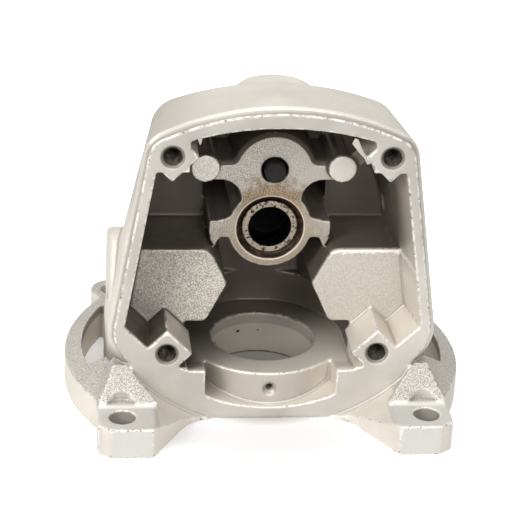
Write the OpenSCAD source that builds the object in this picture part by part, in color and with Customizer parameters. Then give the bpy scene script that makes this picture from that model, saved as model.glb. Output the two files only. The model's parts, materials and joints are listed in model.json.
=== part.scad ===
// Angle grinder gearbox housing with its drawn-cup needle bearing, in millimetres.
// Origin: the spindle axis where it meets the base plane. X right, Y away from the motor, Z up.

/* [Motor face] */
// Distance from the spindle axis forward to the motor face
face_dist = 25.5; // [24:0.5:28]
// Height of the motor axis above the base
motor_h = 50.6; // [49.5:0.1:51.5]
// Spacing of the four motor screws, across and up
motor_screw_span = 59.6; // [58.5:0.1:60.5]
// Tap drill radius of a motor screw hole
motor_tap_r = 2.5; // [2:0.05:2.8]
// Depth of a motor screw hole
motor_tap_depth = 13; // [8:0.5:14]
// Half diagonal of the square post around each motor screw
post_half_diag = 7.3; // [6.8:0.1:7.8]

/* [Shell] */
// Height of the motor face above the base
face_h = 92.9; // [91:0.1:95]
// Radius of the top edge of the motor face
top_arc_r = 75; // [65:1:90]
// Radius of the round underside of the motor face
low_arc_r = 51.5; // [50.5:0.1:53]
// Half width of the motor face where its sides are widest
half_w = 45.3; // [44.5:0.1:46.5]
// Height of the widest place above the base
half_w_h = 26; // [24:0.5:28]
// How far each side leans in for each millimetre of height
side_lean = 0.164; // [0.15:0.002:0.18]
// Rounding of the upper corners of the shell
corner_r = 6; // [4:0.5:8]
// Rounding of the upper corners of the cast skin
skin_corner_r = 9; // [7:0.5:10]
// Rounding of the lower corners of the shell
low_corner_r = 10; // [6:0.5:14]
// How far the cast skin stands outside the machined land of the motor face
skin = 1.3; // [0.8:0.1:2]
// Depth of the machined land
land_depth = 2.2; // [1.5:0.1:3]
// Side wall thickness at the motor face
wall = 3; // [2.6:0.1:3.4]
// Top wall thickness at the motor face
top_wall = 4.3; // [3.8:0.1:5]
// Distance from the spindle axis forward to where the top starts to fall
turn_fore = 1; // [0.5:0.5:4]
// How far the sides are drawn in there
turn_inset = 3.2; // [2.2:0.1:3.8]
// How far the top is lowered there
turn_drop = 1.3; // [0.8:0.1:1.8]
// Radius of the top of the shell there
turn_arc_r = 88; // [80:1:95]
// How far the round bell about the spindle leans in for each millimetre of height
bell_lean = 0.266; // [0.25:0.001:0.275]
// Radius of the bell's shoulder
shoulder_r = 14.4; // [13:0.1:15]
// Height of the centre of that shoulder above the base
shoulder_h = 69; // [68:0.5:70]
// Height of the top of the bell
bell_h = 89.8; // [89:0.1:90.5]
// Radius of the round pad on top
top_pad_r = 12; // [10:0.5:13]
// How far the pad lies below the highest edge of the skin
top_pad_drop = 2.1; // [1.8:0.1:3]
// Rounding of the edge of the pad
top_pad_edge = 4.5; // [3:0.5:6]

/* [Inside] */
// Distance behind the motor face of the two block faces
block_depth = 14.7; // [14:0.1:16]
// Distance behind the motor face of the pocket walls above the blocks
pocket_depth = 38.2; // [36:0.1:40]
// Distance behind the motor face of the rear wall of the gear space
rear_depth = 48.9; // [47:0.1:50]
// Height of the ledges on top of the blocks
block_top = 46.4; // [45:0.1:47.5]
// Height of the underside of the blocks
block_low = 23.6; // [22.8:0.1:25]
// Height of the block tips, where they come closest
block_tip_h = 35.7; // [34:0.1:37]
// Half of the gap between the block tips
block_tip_x = 12.1; // [11.5:0.1:13]
// Half width of the gear space under the blocks
gear_half_w = 24; // [23.8:0.1:25]
// Rounding of the upper inner corners of the blocks
block_round = 4.4; // [2:0.2:5]
// Rounding of the block tips
tip_round = 1.5; // [0.8:0.1:2.4]
// Rounding of the lower inner corners of the blocks
block_low_round = 2.4; // [1.2:0.2:3]
// Draft of the side walls at the block faces
mouth_draft = 1.9; // [1:0.1:2.4]
// Radius of the room above the blocks, at the pocket walls
pocket_r = 35.8; // [35.2:0.1:36.1]
// Height of the centre of that radius above the base
pocket_h = 45; // [44:0.1:45.5]
// Half width of the way around the tower, behind the pocket walls
gap_half_w = 18; // [17.8:0.1:18.5]
// Height of the roof of that way
gap_top = 72; // [70:0.5:73]
// Rise of the floor ramps beside the recess
ramp_rise = 2; // [1:0.1:3]
// Length of the floor ramps
ramp_run = 9; // [6:0.5:12]

/* [Bearing tower] */
// Distance behind the motor face of the tower face
tower_depth = 20.3; // [19.5:0.1:21.5]
// Radius of the boss around the needle bearing
bearing_boss_r = 12; // [11.5:0.1:12.6]
// Height of the rubber pin above the motor axis
pin_rise = 17.8; // [17:0.1:18.4]
// Distance of the rubber pin from the middle, sideways
pin_x = 0.5; // [-0.5:0.1:1]
// Radius of the wide mouth of the pin hole
pin_hole_r = 3.8; // [3.6:0.1:4.5]
// Depth of that mouth
pin_hole_depth = 5; // [3:0.5:5]
// Radius of the rubber pin and of its seat
rubber_pin_r = 3; // [2.5:0.1:3.4]
// Length of the rubber pin
rubber_pin_len = 16; // [12:0.5:18]
// How far the rubber pin stands in front of the tower face
rubber_pin_proud = 2.4; // [0.5:0.1:3]
// Radius of the crown of the tower, around the pin hole
crown_r = 10.6; // [10:0.1:11.2]
// How far the centre of the crown lies below the pin
crown_drop = 0.9; // [0.4:0.1:1.4]
// Width and depth of the sloping band around the crown
crown_band = 1.3; // [0.5:0.1:1.6]
// Height of the upper arms above the pin
arm_rise = 1.2; // [0.8:0.1:1.6]
// Fillet between crown and upper arms
crown_fillet = 3; // [2:0.1:3.4]
// Radius of the round notch between the upper and lower arms
notch_r = 6.05; // [5.6:0.05:6.3]
// Distance of the upper notches' round ends from the middle
notch_x = 14.6; // [14:0.1:15.2]
// Height of the upper notches' tops above the motor axis
notch_rise = 14.75; // [14.2:0.05:15.2]
// Distance of the two round pads from the middle
pad_x = 19.3; // [18.6:0.1:20]
// Radius of a round pad
pad_r = 4.1; // [3.6:0.1:4.4]
// How far the pads stand in front of the tower
pad_proud = 3.1; // [2:0.1:4]

/* [Needle bearing] */
// Outer radius of the drawn cup
cup_r = 8; // [7.8:0.05:8.2]
// Length of the drawn cup
cup_len = 10; // [9:0.5:11]
// Wall of the drawn cup
cup_wall = 0.5; // [0.4:0.05:0.6]
// Thickness of the turned-in lips
lip_t = 0.8; // [0.6:0.1:1]
// Radius of the opening in each lip
lip_hole_r = 6.2; // [6.15:0.05:6.35]
// How far the cup sits below the tower face
cup_sunk = 0.8; // [0.4:0.1:1.2]
// Number of needles
needle_count = 18; // [14:1:18]
// Radius of a needle
needle_r = 0.74; // [0.68:0.02:0.74]
// Running clearance of needles and cage
needle_gap = 0.02; // [0.02:0.01:0.04]

/* [Spindle collar] */
// Radius of the spindle bore
bore_r = 15; // [14:0.1:16]
// Outer radius of the collar
collar_r = 23.5; // [22:0.1:23.7]
// Height of the collar and of the floor around it
floor_h = 13.4; // [12.5:0.1:14]
// Half width of the recess in front of the collar
recess_half_w = 18.7; // [17.5:0.1:19.5]
// Radius of the recess floor about the motor axis line
recess_arc_r = 46.4; // [45.5:0.1:47]
// Radius of the oil hole in the collar
oil_hole_r = 1; // [0.8:0.1:1.4]
// Height of the oil hole
oil_hole_h = 8.4; // [7.5:0.1:9.5]

/* [Base] */
// Outer radius of the base ring
ring_r = 58; // [57:0.5:59]
// Height of the ring edge and of the feet
ring_h = 9; // [8:0.5:10]
// Height that the ring gains up to the body
ring_rise = 5; // [3:0.5:6]
// Distance of the lug holes from the middle, sideways
lug_x = 42.6; // [41.5:0.1:43.5]
// Distance of the lug holes from the spindle axis, fore and aft
lug_y = 39.6; // [38.5:0.1:40.5]
// Radius of a lug hole
lug_hole_r = 3.7; // [3.2:0.1:4.2]
// Outer radius of a kidney slot
slot_out_r = 53; // [51:0.1:54]
// Distance from the spindle axis forward to the end of a slot
slot_fore = 12.6; // [8:0.2:14]
// Angle at which a slot ends behind the spindle axis
slot_aft = 36; // [28:1:38]
// Radius of the clearance for the motor housing in front of the face
relief_r = 53; // [52.9:0.1:54]

/* [Handle bosses] */
// Radius of a side handle boss
handle_boss_r = 16.5; // [14:0.5:17.5]
// Height of its axis
handle_h = 30.5; // [29:0.5:32]
// Distance of its flat end from the middle
handle_x = 45.8; // [45.5:0.1:47.5]
// Tap drill radius of the handle thread
handle_tap_r = 4.25; // [3.4:0.05:5.1]
// Depth of the handle thread
handle_tap_depth = 14; // [10:1:16]

/* [Hidden] */
$fn = 96;

function needle_name(i) = str("needle_", i < 10 ? "0" : "", i);

// Places along Y, from the spindle axis
face_y = -face_dist;
turn_y = -turn_fore;
block_y = face_y + block_depth;
pocket_y = face_y + pocket_depth;
rear_y = face_y + rear_depth;
tower_y = face_y + tower_depth;
nose_r = half_w + skin;
skin_h = face_h + skin;
low_arc_z = motor_h - 0.6;
pin_h = motor_h + pin_rise;
arm_top = pin_h + arm_rise;
notch_top = motor_h + notch_rise;
screw_half = motor_screw_span / 2;
screw_high = motor_h + screw_half;
screw_low = motor_h - screw_half;
big = 200;
eps = 0.01;

// Numbers of the bearing
race_r = cup_r - cup_wall;
orbit_r = race_r - needle_gap - needle_r;
cup_y = tower_y + cup_sunk;
cage_len = cup_len - 2 * lip_t - 0.4;
needle_len = cage_len - 1.6;
cup_mid_y = cup_y + cup_len / 2;
pocket_gap = 0.08;

// Ends of the rubber pin
rubber_pin_y0 = tower_y - rubber_pin_proud;
rubber_pin_y1 = rubber_pin_y0 + rubber_pin_len;

// Extrudes a drawing of the front view (X, Z) from y0 back to y1
module front_view(y0, y1) {
    translate([0, y1, 0]) rotate([90, 0, 0]) linear_extrude(y1 - y0) children();
}

// Extrudes a drawing of the side view (Y, Z) from x0 to x1
module side_view(x0, x1) {
    translate([x0, 0, 0]) rotate([90, 0, 90]) linear_extrude(x1 - x0) children();
}

// A cylinder along Y that starts at the front end y0
module rod_y(x, z, r, y0, y1) {
    translate([x, y1, z]) rotate([90, 0, 0]) cylinder(r = r, h = y1 - y0);
}

// Repeats something on the left as on the right
module both_sides() {
    children();
    mirror([1, 0, 0]) children();
}

function unit(v) = v / norm(v);

// What a rounding of radius r at centre c takes off a corner between the normals n1 and n2
module corner_cut(c, n1, n2, r) {
    difference() {
        polygon([c, c + 2.2 * r * n1, c + 3 * r * unit(n1 + n2), c + 2.2 * r * n2]);
        translate(c) circle(r = r);
    }
}

// Half width of the shell at height z, grown outwards by g
function side_x(z, g) = half_w + g - (z - half_w_h) * side_lean;
side_n = unit([1, side_lean]);

// Centre of a rounding r between the side line and a circle of radius rc about (0, zc)
function corner_centre(rc, zc, r, g, s) =
    let (t = side_lean,
         a = side_x(0, g) - r * sqrt(1 + t * t),
         b = a * t + zc,
         d = b * b - (t * t + 1) * (a * a + zc * zc - pow(rc - r, 2)),
         z = (b + s * sqrt(d)) / (t * t + 1))
    [a - t * z, z];

// Front outline of the shell, grown outwards by g, with its top at height h on radius rt and
// its upper corners rounded to rc
module shell_outline(g, h = face_h, rt = top_arc_r, rc = corner_r) {
    top_c = h - rt;
    up = corner_centre(rt + g, top_c, rc, g, 1);
    low = corner_centre(low_arc_r + g, low_arc_z, low_corner_r, g, -1);
    difference() {
        intersection() {
            translate([0, low_arc_z]) circle(r = low_arc_r + g);
            translate([0, top_c]) circle(r = rt + g);
            polygon([[-side_x(0, g), 0], [side_x(0, g), 0],
                     [side_x(big, g), big], [-side_x(big, g), big]]);
        }
        both_sides() {
            corner_cut(up, side_n, unit(up - [0, top_c]), rc);
            corner_cut(low, side_n, unit(low - [0, low_arc_z]), low_corner_r);
        }
    }
}

// Round bell about the spindle, the rear half
module bell() {
    r = nose_r - (shoulder_h - half_w_h) * bell_lean;
    c = r - shoulder_r;
    rotate_extrude(angle = 180)
        polygon([[0, 0], [nose_r, 0], [nose_r, half_w_h - 5], [nose_r - 0.5, half_w_h],
                 for (a = [0:12.5:75]) [c + shoulder_r * cos(a), shoulder_h + shoulder_r * sin(a)],
                 [c - 8, bell_h - 2.6], [c - 15, bell_h - 0.6], [0, bell_h]]);
}

// Body behind the land: one drafted skin from the motor face back around the bell
module body() {
    skin_y = face_y + land_depth;
    front_view(face_y, skin_y + eps) shell_outline(0);
    hull() {
        front_view(skin_y, skin_y + 1) shell_outline(skin, rc = skin_corner_r);
        front_view(turn_y - 3, turn_y)
            shell_outline(skin - turn_inset, face_h + turn_inset - turn_drop, turn_arc_r,
                          skin_corner_r);
        bell();
    }
}

// Round pad on top, above the spindle
module top_pad() {
    h = skin_h - top_pad_drop;
    flat_r = top_pad_r - top_pad_edge;
    rotate_extrude() {
        square([flat_r, h]);
        square([top_pad_r, h - top_pad_edge]);
        intersection() {
            translate([flat_r, h - top_pad_edge]) circle(r = top_pad_edge);
            square([top_pad_r, h]);
        }
    }
}

module handle_boss() {
    edge = 0.8;
    rotate([0, 90, 0]) translate([-handle_h, 0, 0]) {
        cylinder(r = handle_boss_r, h = handle_x - edge);
        translate([0, 0, handle_x - edge])
            cylinder(r1 = handle_boss_r, r2 = handle_boss_r - edge, h = edge);
    }
}

// Points of an arc
function arc(c, r, a0, a1, n = 12) =
    [for (i = [0:n]) let (a = a0 + (a1 - a0) * i / n) c + r * [cos(a), sin(a)]];

// Outline of a front foot with the web that runs in to the motor face
foot_out_x = 49.5;
foot_front = 46.8;
foot_in_x = 34.2;
web_fillet = 12;
web_end = [-25.45, -31.7];
module foot_plan() {
    knee = [-31.2, -41.5];
    web_angle = atan2(web_end[1] - knee[1], web_end[0] - knee[0]);
    // The fillet turns the web's edge into the line of the motor face
    c = [web_end[0] + web_fillet * sin(web_angle), web_end[1] - web_fillet * cos(web_angle)];
    polygon(concat([[c[0], face_y + 2], [-foot_out_x, face_y + 2],
                    [-foot_out_x, 3 - foot_front - 0.5], [1.2 - foot_out_x, 2 - foot_front],
                    [3.6 - foot_out_x, -foot_front], [-foot_in_x, -foot_front], knee],
                   arc(c, web_fillet, web_angle + 90, 90)));
}

// Sloping gusset between a foot and the shell
gusset_rise = 7.6;
gusset_run = 5.7;
module gusset() {
    top = ring_h + gusset_rise;
    foot_y = face_y - gusset_run;
    intersection() {
        side_view(-foot_out_x, -30)
            polygon([[foot_y, 0], [foot_y, ring_h], [face_y, top], [face_y + 6, top],
                     [face_y + 6, 0]]);
        front_view(-big, big)
            polygon([[-foot_out_x, 0], [-foot_out_x, ring_h], [4.6 - foot_out_x, top],
                     [-30, top], [-30, 0]]);
    }
}

spot_r = 6.5;
lug_r = 6.8;
module foot() {
    difference() {
        union() {
            linear_extrude(ring_h) foot_plan();
            gusset();
        }
        translate([-lug_x, -lug_y, ring_h]) cylinder(r = spot_r, h = big);
    }
}

module base_ring() {
    in_r = nose_r - 4;
    difference() {
        rotate_extrude()
            polygon([[in_r, 0], [ring_r, 0], [ring_r, ring_h],
                     [nose_r, ring_h + ring_rise], [in_r, ring_h + ring_rise]]);
        translate([-big, -big, -1]) cube([2 * big, big + face_y - gusset_run, big]);
    }
    // Floor of the ring under the body
    intersection() {
        cylinder(r = in_r + 1, h = ring_h);
        translate([-big, face_y, 0]) cube([2 * big, big, ring_h]);
    }
    both_sides() translate([lug_x, lug_y, 0]) cylinder(r = lug_r, h = ring_h + 0.6);
}

module kidney_slot() {
    translate([0, 0, -1]) linear_extrude(ring_h + ring_rise + 3) intersection() {
        difference() {
            circle(r = slot_out_r);
            circle(r = nose_r);
        }
        polygon([[0, -slot_fore], [big, -slot_fore], [big, 0],
                 [big * cos(slot_aft), big * sin(slot_aft)]]);
    }
}

// Opening of the motor face inside the shell, drawn in by inset and drop as the draft asks
module mouth_outline(inset = 0, drop = 0) {
    in_top_r = 88;
    top_h = face_h - top_wall;
    diag_h = 29.2;
    diag_x = side_x(diag_h, 0) - wall;
    diag_drop = 13;
    scale([1 - inset / diag_x, 1 - drop / top_h]) intersection() {
        translate([0, top_h - in_top_r]) circle(r = in_top_r);
        polygon([[diag_drop - diag_x, diag_h - diag_drop], [diag_x - diag_drop, diag_h - diag_drop],
                 [diag_x, diag_h], [side_x(big, 0) - wall, big],
                 [wall - side_x(big, 0), big], [-diag_x, diag_h]]);
    }
}

// The part of a front view drawing above the ledges
module above_ledge() {
    intersection() {
        children();
        translate([-big, block_top]) square(2 * big);
    }
}

// Arc of radius r that rounds the corner b between a and c
function rounding(a, b, c, r, n = 6) =
    let (u = unit(a - b), v = unit(c - b), half = acos(u * v) / 2,
         m = b + unit(u + v) * r / sin(half),
         p = b + u * r / tan(half) - m, q = b + v * r / tan(half) - m,
         a0 = atan2(p[1], p[0]), turn = atan2(p[0] * q[1] - p[1] * q[0], p * q))
    arc(m, r, a0, a0 + turn, n);

// Narrow way between the blocks, wider above and below their tips
module block_gap() {
    tip = [block_tip_x, block_tip_h];
    high = [block_tip_x + (block_top - block_tip_h) * 0.5, block_top];
    low = [block_tip_x + (block_tip_h - block_low) * 0.48, block_low];
    far = 30;
    low_arc = rounding([far, block_low], low, tip, block_low_round);
    high_arc = rounding(tip, high, [far, block_top], block_round);
    both_sides()
        polygon(concat([[-eps, block_low - eps], [low_arc[0][0], block_low - eps]], low_arc,
                       rounding(low, tip, high, tip_round), high_arc,
                       [[high_arc[len(high_arc) - 1][0], block_top + eps],
                        [-eps, block_top + eps]]));
}

// Plan of the way between the blocks, which narrows to the rear
module gap_plan(front_w, rear_w) {
    polygon([[-front_w, block_y - 1], [front_w, block_y - 1], [rear_w, rear_y], [-rear_w, rear_y]]);
}

module gear_space() {
    translate([0, 0, floor_h]) linear_extrude(block_low - floor_h) intersection() {
        union() {
            circle(r = gear_half_w);
            translate([-gear_half_w, face_y - 1]) square([2 * gear_half_w, face_dist + 1]);
        }
        translate([-big, face_y - 1]) square([2 * big, rear_y - face_y + 1]);
    }
}

// Crescent recess in front of the collar
module collar_recess() {
    difference() {
        intersection() {
            rod_y(0, low_arc_z, recess_arc_r, face_y - 1, 0);
            translate([-recess_half_w, face_y - 1, 0])
                cube([2 * recess_half_w, face_dist + 1, floor_h + 1]);
        }
        cylinder(r = collar_r, h = floor_h);
    }
}

// Ramps on the floor, up to the motor face, beside the recess
module floor_ramps() {
    both_sides() side_view(recess_half_w, gear_half_w + 1)
        polygon([[face_y, 0], [face_y, floor_h + ramp_rise], [face_y + 2, floor_h + ramp_rise],
                 [face_y + ramp_run, floor_h - eps], [face_y + ramp_run, 0]]);
}

module cavities() {
    // Mouth, down to the block faces
    hull() {
        front_view(face_y - 1, face_y) mouth_outline();
        front_view(block_y - 0.1, block_y) mouth_outline(mouth_draft, 1);
    }
    // Room above the blocks
    hull() {
        front_view(block_y - 0.1, block_y) above_ledge() mouth_outline(mouth_draft, 1);
        front_view(pocket_y - 0.1, pocket_y) above_ledge()
            translate([0, pocket_h]) circle(r = pocket_r);
    }
    // Way to the rear wall around the tower
    front_view(pocket_y - eps, rear_y) intersection() {
        translate([-gap_half_w, block_top - 1]) square([2 * gap_half_w, gap_top - block_top + 1]);
        circle(r = gap_top);
    }
    intersection() {
        front_view(block_y - eps, rear_y) block_gap();
        linear_extrude(big) gap_plan(21.5, 13);
    }
    difference() {
        gear_space();
        floor_ramps();
    }
    collar_recess();
}

// Front outline of the bearing tower
arm_low = 3.1;
arm_high = 2.3;
arm_x = 17.4;
module tower_outline() {
    notch = [notch_x, notch_top - notch_r];
    f2 = 2.5;
    f2_h = motor_h - arm_low;
    f2_c = [sqrt(pow(bearing_boss_r + f2, 2) - pow(arm_low + f2, 2)), f2_h - f2];
    translate([0, motor_h]) circle(r = bearing_boss_r);
    both_sides() {
        difference() {
            translate([-eps, motor_h]) square([pad_x, arm_top - motor_h]);
            translate(notch) circle(r = notch_r);
            translate([notch[0], notch[1] - notch_r]) square([big, 2 * notch_r]);
            translate([notch[0], motor_h + arm_high]) square([big, notch_r]);
            translate([arm_x, motor_h - 1]) square([big, notch[1] - motor_h]);
        }
        polygon([[0, f2_h], [arm_x - 1, f2_h], [arm_x, f2_h + 1], [arm_x, motor_h + arm_high - 1],
                 [arm_x - 1, motor_h + arm_high], [0, motor_h + arm_high]]);
        polygon([[arm_x - 3, f2_h + eps], [arm_x + 0.1, f2_h + eps], [arm_x - 1.7, f2_h - 3]]);
        difference() {
            polygon([[0, motor_h], f2_c, [f2_c[0], f2_h], [0, f2_h]]);
            translate(f2_c) circle(r = f2);
        }
    }
}

// A round form along Y whose radius goes from r0 to r1 over the depth of the crown's band
module banded_rod(c, r0, r1) {
    translate([c[0], tower_y, c[1]]) rotate([-90, 0, 0]) {
        cylinder(r1 = r0, r2 = r1, h = crown_band);
        translate([0, 0, crown_band]) cylinder(r = r1, h = rear_y + 1 - tower_y - crown_band);
    }
}

// Crown of the tower and the tops of its upper arms, all with a sloping band behind the face
module crown() {
    z = pin_h - crown_drop;
    f = crown_fillet;
    lap = 0.01;
    f_z = arm_top + f - lap;
    run = sqrt(pow(crown_r + f - lap, 2) - pow(f_z - z, 2));
    cut = arm_top - 1;
    intersection() {
        banded_rod([pin_x, z], crown_r, crown_r + crown_band);
        translate([-big, -big, cut]) cube(2 * big);
    }
    both_sides() side_view(-eps, pad_x)
        polygon([[tower_y, cut], [tower_y, arm_top],
                 [tower_y + crown_band, arm_top + crown_band], [rear_y + 1, arm_top + crown_band],
                 [rear_y + 1, cut]]);
    for (s = [-1, 1]) difference() {
        front_view(tower_y, rear_y + 1)
            polygon([[pin_x, z + 4], [pin_x + s * run, f_z], [pin_x + s * run, cut],
                     [pin_x, cut]]);
        banded_rod([pin_x + s * run, f_z], f, f - crown_band);
    }
}

// Square posts around the motor screws, turned on their corners
module post_square(z) {
    translate([screw_half, z]) rotate(45) square(post_half_diag * sqrt(2), center = true);
}

module posts() {
    both_sides() {
        front_view(face_y, pocket_y) {
            post_square(screw_high);
            translate([screw_half - 4.7, screw_high - 4.5]) square([big, big]);
        }
        front_view(face_y, block_y) post_square(screw_low);
    }
}

// Round pads beside the tower, each with a short rib up to its post
module pads() {
    pad_h = pin_h + 1.6;
    pad_y = tower_y - pad_proud;
    both_sides() {
        rod_y(pad_x, pad_h, pad_r, pad_y, pocket_y + eps);
        front_view(pad_y + 1, pocket_y + eps)
            polygon([[pad_x, pad_h + 1.5], [pad_x + 3, pad_h - 1.5],
                     [screw_half - 1, screw_high - 5], [screw_half - 4, screw_high - 2]]);
    }
}

module interior() {
    difference() {
        cavities();
        posts();
        front_view(tower_y, rear_y + 1) tower_outline();
        crown();
        pads();
    }
}

module tapped_hole(x, z) {
    lead = 0.65;
    rod_y(x, z, motor_tap_r, face_y - 1, face_y + motor_tap_depth);
    translate([x, face_y + lead, z]) rotate([90, 0, 0])
        cylinder(r1 = motor_tap_r, r2 = motor_tap_r + lead + 0.1, h = lead + 0.1);
}

module bearing_seat() {
    groove = 1.6;
    rim_r = cup_r + 1.7;
    floor_r = cup_r + 0.7;
    rod_y(0, motor_h, cup_r, tower_y - 1, cup_y + cup_len + 0.4);
    translate([0, tower_y + groove, motor_h]) rotate([90, 0, 0])
        cylinder(r1 = floor_r, r2 = rim_r, h = groove);
    rod_y(0, motor_h, lip_hole_r, tower_y, cup_y + cup_len + 5);
}

module handle_thread() {
    translate([handle_x - handle_tap_depth, 0, handle_h]) rotate([0, 90, 0])
        cylinder(r = handle_tap_r, h = handle_tap_depth + 1);
    translate([handle_x - 1, 0, handle_h]) rotate([0, 90, 0])
        cylinder(r1 = handle_tap_r, r2 = handle_tap_r + 1.1, h = 1.1);
}

module gearbox_housing() {
    color([0.76, 0.74, 0.70]) difference() {
        union() {
            body();
            top_pad();
            base_ring();
            both_sides() {
                handle_boss();
                foot();
            }
        }
        // Room for the round motor housing in front of the face
        rod_y(0, low_arc_z, relief_r, -big, face_y);
        both_sides() kidney_slot();
        interior();
        translate([0, 0, -1]) cylinder(r = bore_r, h = floor_h + 2);
        both_sides() {
            for (y = [-lug_y, lug_y])
                translate([lug_x, y, -1]) cylinder(r = lug_hole_r, h = big);
            tapped_hole(screw_half, screw_high);
            tapped_hole(screw_half, screw_low);
            handle_thread();
        }
        bearing_seat();
        rod_y(pin_x, pin_h, pin_hole_r, tower_y - 1, tower_y + pin_hole_depth);
        rod_y(pin_x, pin_h, rubber_pin_r, tower_y, rubber_pin_y1);
        rod_y(0, oil_hole_h, oil_hole_r, -collar_r - 1, -bore_r + 1);
        translate([0, 1.3 - collar_r, oil_hole_h]) rotate([90, 0, 0])
            cylinder(r1 = oil_hole_r, r2 = oil_hole_r + 1.6, h = 1.6);
    }
}

// Puts a shape turned about Z on the motor axis, its z = 0 at y, growing to the rear
module on_motor_axis(y) {
    translate([0, y, motor_h]) rotate([-90, 0, 0]) children();
}

module rubber_pin() {
    edge = 0.4;
    color([0.10, 0.10, 0.10]) translate([pin_x, rubber_pin_y1, pin_h]) rotate([90, 0, 0]) {
        cylinder(r = rubber_pin_r, h = rubber_pin_len - edge);
        translate([0, 0, rubber_pin_len - edge])
            cylinder(r1 = rubber_pin_r, r2 = rubber_pin_r - edge, h = edge);
    }
}

module bearing_cup() {
    color([0.72, 0.70, 0.67]) on_motor_axis(cup_y) rotate_extrude()
        polygon([[lip_hole_r, 0], [cup_r - 0.3, 0], [cup_r, 0.3], [cup_r, cup_len - 0.3],
                 [cup_r - 0.3, cup_len], [lip_hole_r, cup_len], [lip_hole_r, cup_len - lip_t],
                 [race_r, cup_len - lip_t], [race_r, lip_t], [lip_hole_r, lip_t]]);
}

module needle_cage() {
    color([0.35, 0.33, 0.30]) on_motor_axis(cup_mid_y) difference() {
        rotate_extrude() translate([lip_hole_r + 0.05, -cage_len / 2])
            square([race_r - lip_hole_r - 0.3, cage_len]);
        for (i = [1:needle_count]) rotate([0, 0, i * 360 / needle_count])
            translate([orbit_r, 0, -needle_len / 2 - 0.1])
                cylinder(r = needle_r + pocket_gap, h = needle_len + 0.2, $fn = 24);
    }
}

module needle(i) {
    color([0.80, 0.80, 0.80]) on_motor_axis(cup_mid_y)
        rotate([0, 0, i * 360 / needle_count]) translate([orbit_r, 0, -needle_len / 2])
            cylinder(r = needle_r, h = needle_len, $fn = 24);
}

gearbox_housing();
rubber_pin();
bearing_cup();
needle_cage();
for (i = [1:needle_count])
    needle(i);
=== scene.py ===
"""Looks of the angle grinder gearbox housing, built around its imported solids."""

import json
import logging
import math
from collections.abc import Callable
from dataclasses import dataclass

import bpy
import numpy as np
from mathutils import Matrix, Vector

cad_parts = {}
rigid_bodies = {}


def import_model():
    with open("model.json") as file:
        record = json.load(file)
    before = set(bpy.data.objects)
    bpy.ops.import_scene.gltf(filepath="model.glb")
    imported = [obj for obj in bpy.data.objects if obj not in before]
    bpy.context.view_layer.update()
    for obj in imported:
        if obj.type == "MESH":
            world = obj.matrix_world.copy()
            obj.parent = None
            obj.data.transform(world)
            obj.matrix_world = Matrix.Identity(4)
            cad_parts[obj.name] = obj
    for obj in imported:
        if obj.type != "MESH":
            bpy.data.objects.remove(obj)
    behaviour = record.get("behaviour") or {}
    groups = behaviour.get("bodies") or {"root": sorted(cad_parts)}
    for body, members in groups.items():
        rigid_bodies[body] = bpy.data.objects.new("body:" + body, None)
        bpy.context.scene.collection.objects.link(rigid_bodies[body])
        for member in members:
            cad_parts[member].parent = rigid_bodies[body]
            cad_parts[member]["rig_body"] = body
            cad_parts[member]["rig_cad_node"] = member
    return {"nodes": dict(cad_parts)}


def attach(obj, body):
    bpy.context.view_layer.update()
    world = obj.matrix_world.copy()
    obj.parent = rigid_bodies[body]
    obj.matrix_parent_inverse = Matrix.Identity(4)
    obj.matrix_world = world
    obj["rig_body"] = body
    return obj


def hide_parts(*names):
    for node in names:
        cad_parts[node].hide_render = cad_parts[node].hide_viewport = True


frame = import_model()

LOG = logging.getLogger("gearbox_housing")
MM = 0.001
Colour = tuple[float, float, float]
Point = tuple[float, float, float]
Socket = bpy.types.NodeSocket
Value = Socket | float | Colour


# Sizes that the pieces share, in millimetres, as in the part's source
FACE_Y = -25.5
MOTOR_H = 50.6
SCREW_HALF = 29.8
SCREW_R = 2.5
BLOCK_Y = -10.8
BLOCK_TOP = 46.4
TOWER_Y = -5.2
PAD_Y = -8.3
POCKET_Y = 12.7
NOSE_Y = 23.0
REAR_Y = 23.4
FLOOR_H = 13.4
SHELL_H = 16.0
RING_H = 9.0
BORE_R = 15.0
PIN_X = 0.5
PIN_H = 68.4
PIN_HOLE_R = 3.8
CUP_R = 8.0
SEAT_R = 9.75
HANDLE_X = 45.8
HANDLE_H = 30.5
HANDLE_R = 4.25
LUG_X = 42.6
LUG_Y = -39.6
LUG_REAR_Y = -33.5
LUG_HOLE_R = 3.7
COLLAR_R = 23.5
OIL_HOLE_H = 8.4

BLACK: Colour = (0.004, 0.0035, 0.003)
ORIGIN: Point = (0.0, 0.0, 0.0)
ALONG_Y: Point = (1.0, 0.0, 1.0)
ALONG_Z: Point = (1.0, 1.0, 0.0)


# --- Shader helpers ---


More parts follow.
